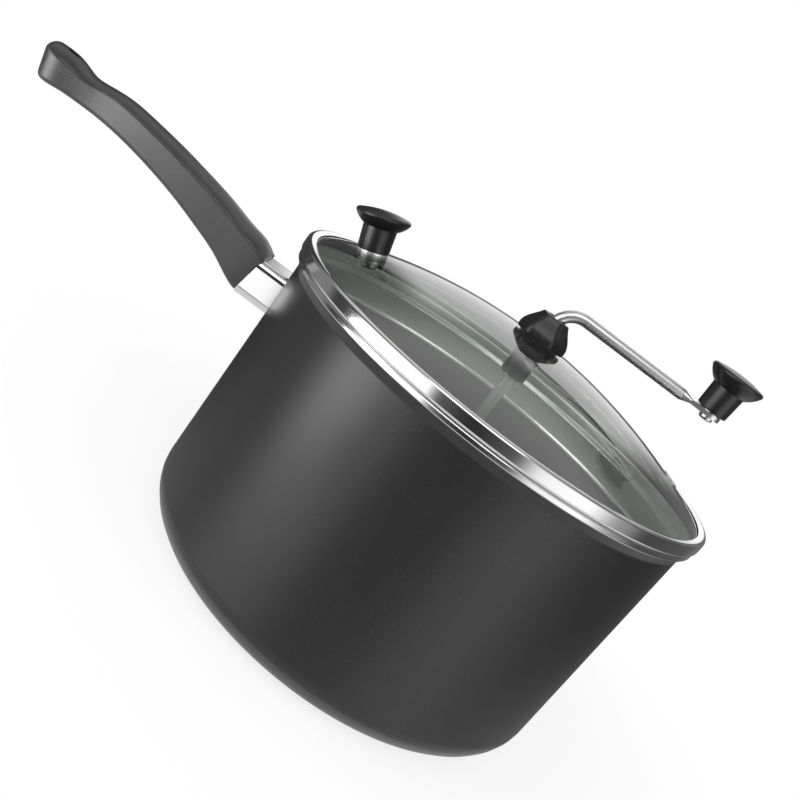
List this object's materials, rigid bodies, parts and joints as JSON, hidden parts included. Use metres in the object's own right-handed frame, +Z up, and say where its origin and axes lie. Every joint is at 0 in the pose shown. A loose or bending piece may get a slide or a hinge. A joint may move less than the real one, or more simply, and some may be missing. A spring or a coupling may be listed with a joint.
{
  "type": "stovetop popcorn popper",
  "caption": "Deep round pot with a long arched handle, a domed glass lid in a steel band, and a hand crank through the lid that turns a wire stirrer on the pot floor.",
  "frame": {"origin": "centre of the pot's flat underside", "axes": "+Z up along the pot's axis and the crank shaft; the handle points along -X; at rest the crank arm points along +X"},
  "size_m": [0.4087, 0.25, 0.2248],
  "materials": {
    "pot_coating": "satin charcoal non-stick coating over pressed aluminium",
    "plain_steel": "plain",
    "rivet_metal": "satin",
    "polished_steel": "polished",
    "grip_phenolic": "satin black phenolic",
    "glass": "clear tempered, faintly green",
    "knob_phenolic": "semi-gloss black phenolic",
    "seal_rubber": "matte",
    "crank_steel": "nickel-plated rod"
  },
  "bodies": {
    "pot": {"pot_body": "pot_coating", "handle_bracket": "plain_steel", "handle_rivets": "rivet_metal", "handle_ferrule": "polished_steel", "handle_grip": "grip_phenolic", "handle_screw": "plain_steel"},
    "lid": {"lid_glass": "glass", "lid_band": "polished_steel", "vent_eyelet": "polished_steel", "lid_knob": "knob_phenolic", "lid_knob_washer": "polished_steel", "lid_knob_seal": "seal_rubber", "lid_knob_screw_washer": "plain_steel", "lid_knob_screw": "plain_steel", "hub_cap": "knob_phenolic", "hub_seal_top": "seal_rubber", "hub_bush": "plain_steel", "hub_seal_bottom": "seal_rubber", "hub_guide": "knob_phenolic"},
    "crank": {"crank_rod": "crank_steel", "shaft_washer": "plain_steel", "shaft_clip": "plain_steel", "stirrer_boss": "plain_steel", "stirrer_wire_long": "crank_steel", "stirrer_wire_short": "crank_steel", "stirrer_set_screw": "plain_steel", "knob_rivet": "crank_steel", "knob_washer": "plain_steel"},
    "crank_knob": {"crank_knob": "knob_phenolic", "crank_knob_plug": "knob_phenolic"}
  },
  "joints": [
    {"name": "lid_lift", "type": "slide", "parent": "pot", "child": "lid", "axis": [0, 0, 1], "range_m": [0, 0.18]},
    {"name": "crank_turn", "type": "hinge", "parent": "lid", "child": "crank", "pos_m": [0, 0, 0.17], "axis": [0, 0, 1], "continuous": true},
    {"name": "crank_knob_spin", "type": "hinge", "parent": "crank", "child": "crank_knob", "pos_m": [0.091, 0, 0.21], "axis": [0, 0, 1], "continuous": true}
  ]
}
